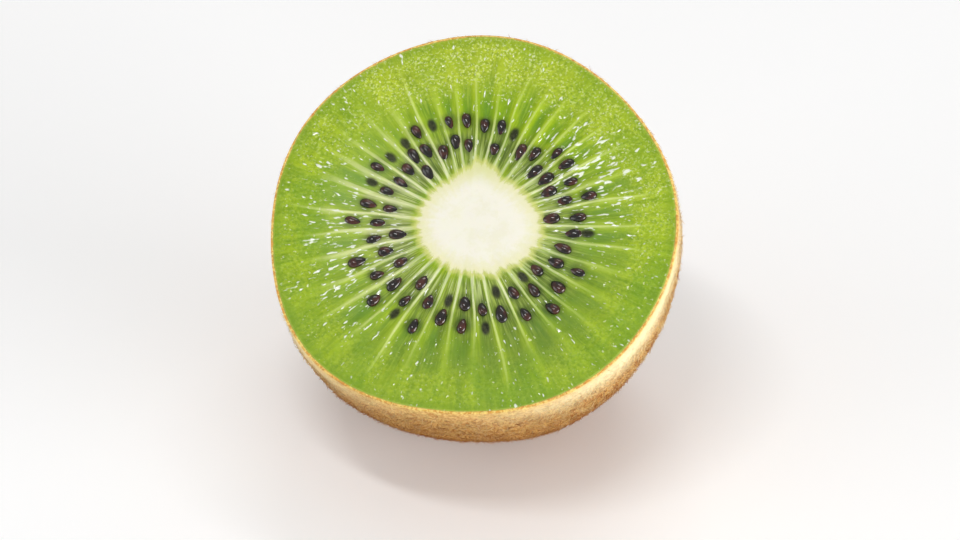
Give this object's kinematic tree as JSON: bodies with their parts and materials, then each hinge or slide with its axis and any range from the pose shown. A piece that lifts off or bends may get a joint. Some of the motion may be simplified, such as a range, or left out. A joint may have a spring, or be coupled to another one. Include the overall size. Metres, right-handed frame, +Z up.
{
  "type": "kiwi fruit half",
  "caption": "Half of a green kiwi fruit cut across its waist, lying on its brown furry skin with the green face, pale core, rays and dark seeds tilted up to the front.",
  "frame": {"origin": "middle of the small flat on the skin that the fruit rests on", "axes": "+X runs across the cut face, the cut face looks towards -Y and up at 60 degrees, +Z is up"},
  "size_m": [0.0505, 0.0495, 0.0441],
  "materials": {
    "flesh": "wet cut fruit flesh, bright green with pale rays, stood in for by gloss plastic",
    "core": "cream white core of the fruit, moist and fibrous",
    "seed": "black brown seed, glossy and wet",
    "skin": "thin tan brown skin with short fuzz",
    "stem": "dark dry woody stem scar and sepals"
  },
  "bodies": {
    "root": {"kiwi_half": "flesh"}
  },
  "joints": []
}
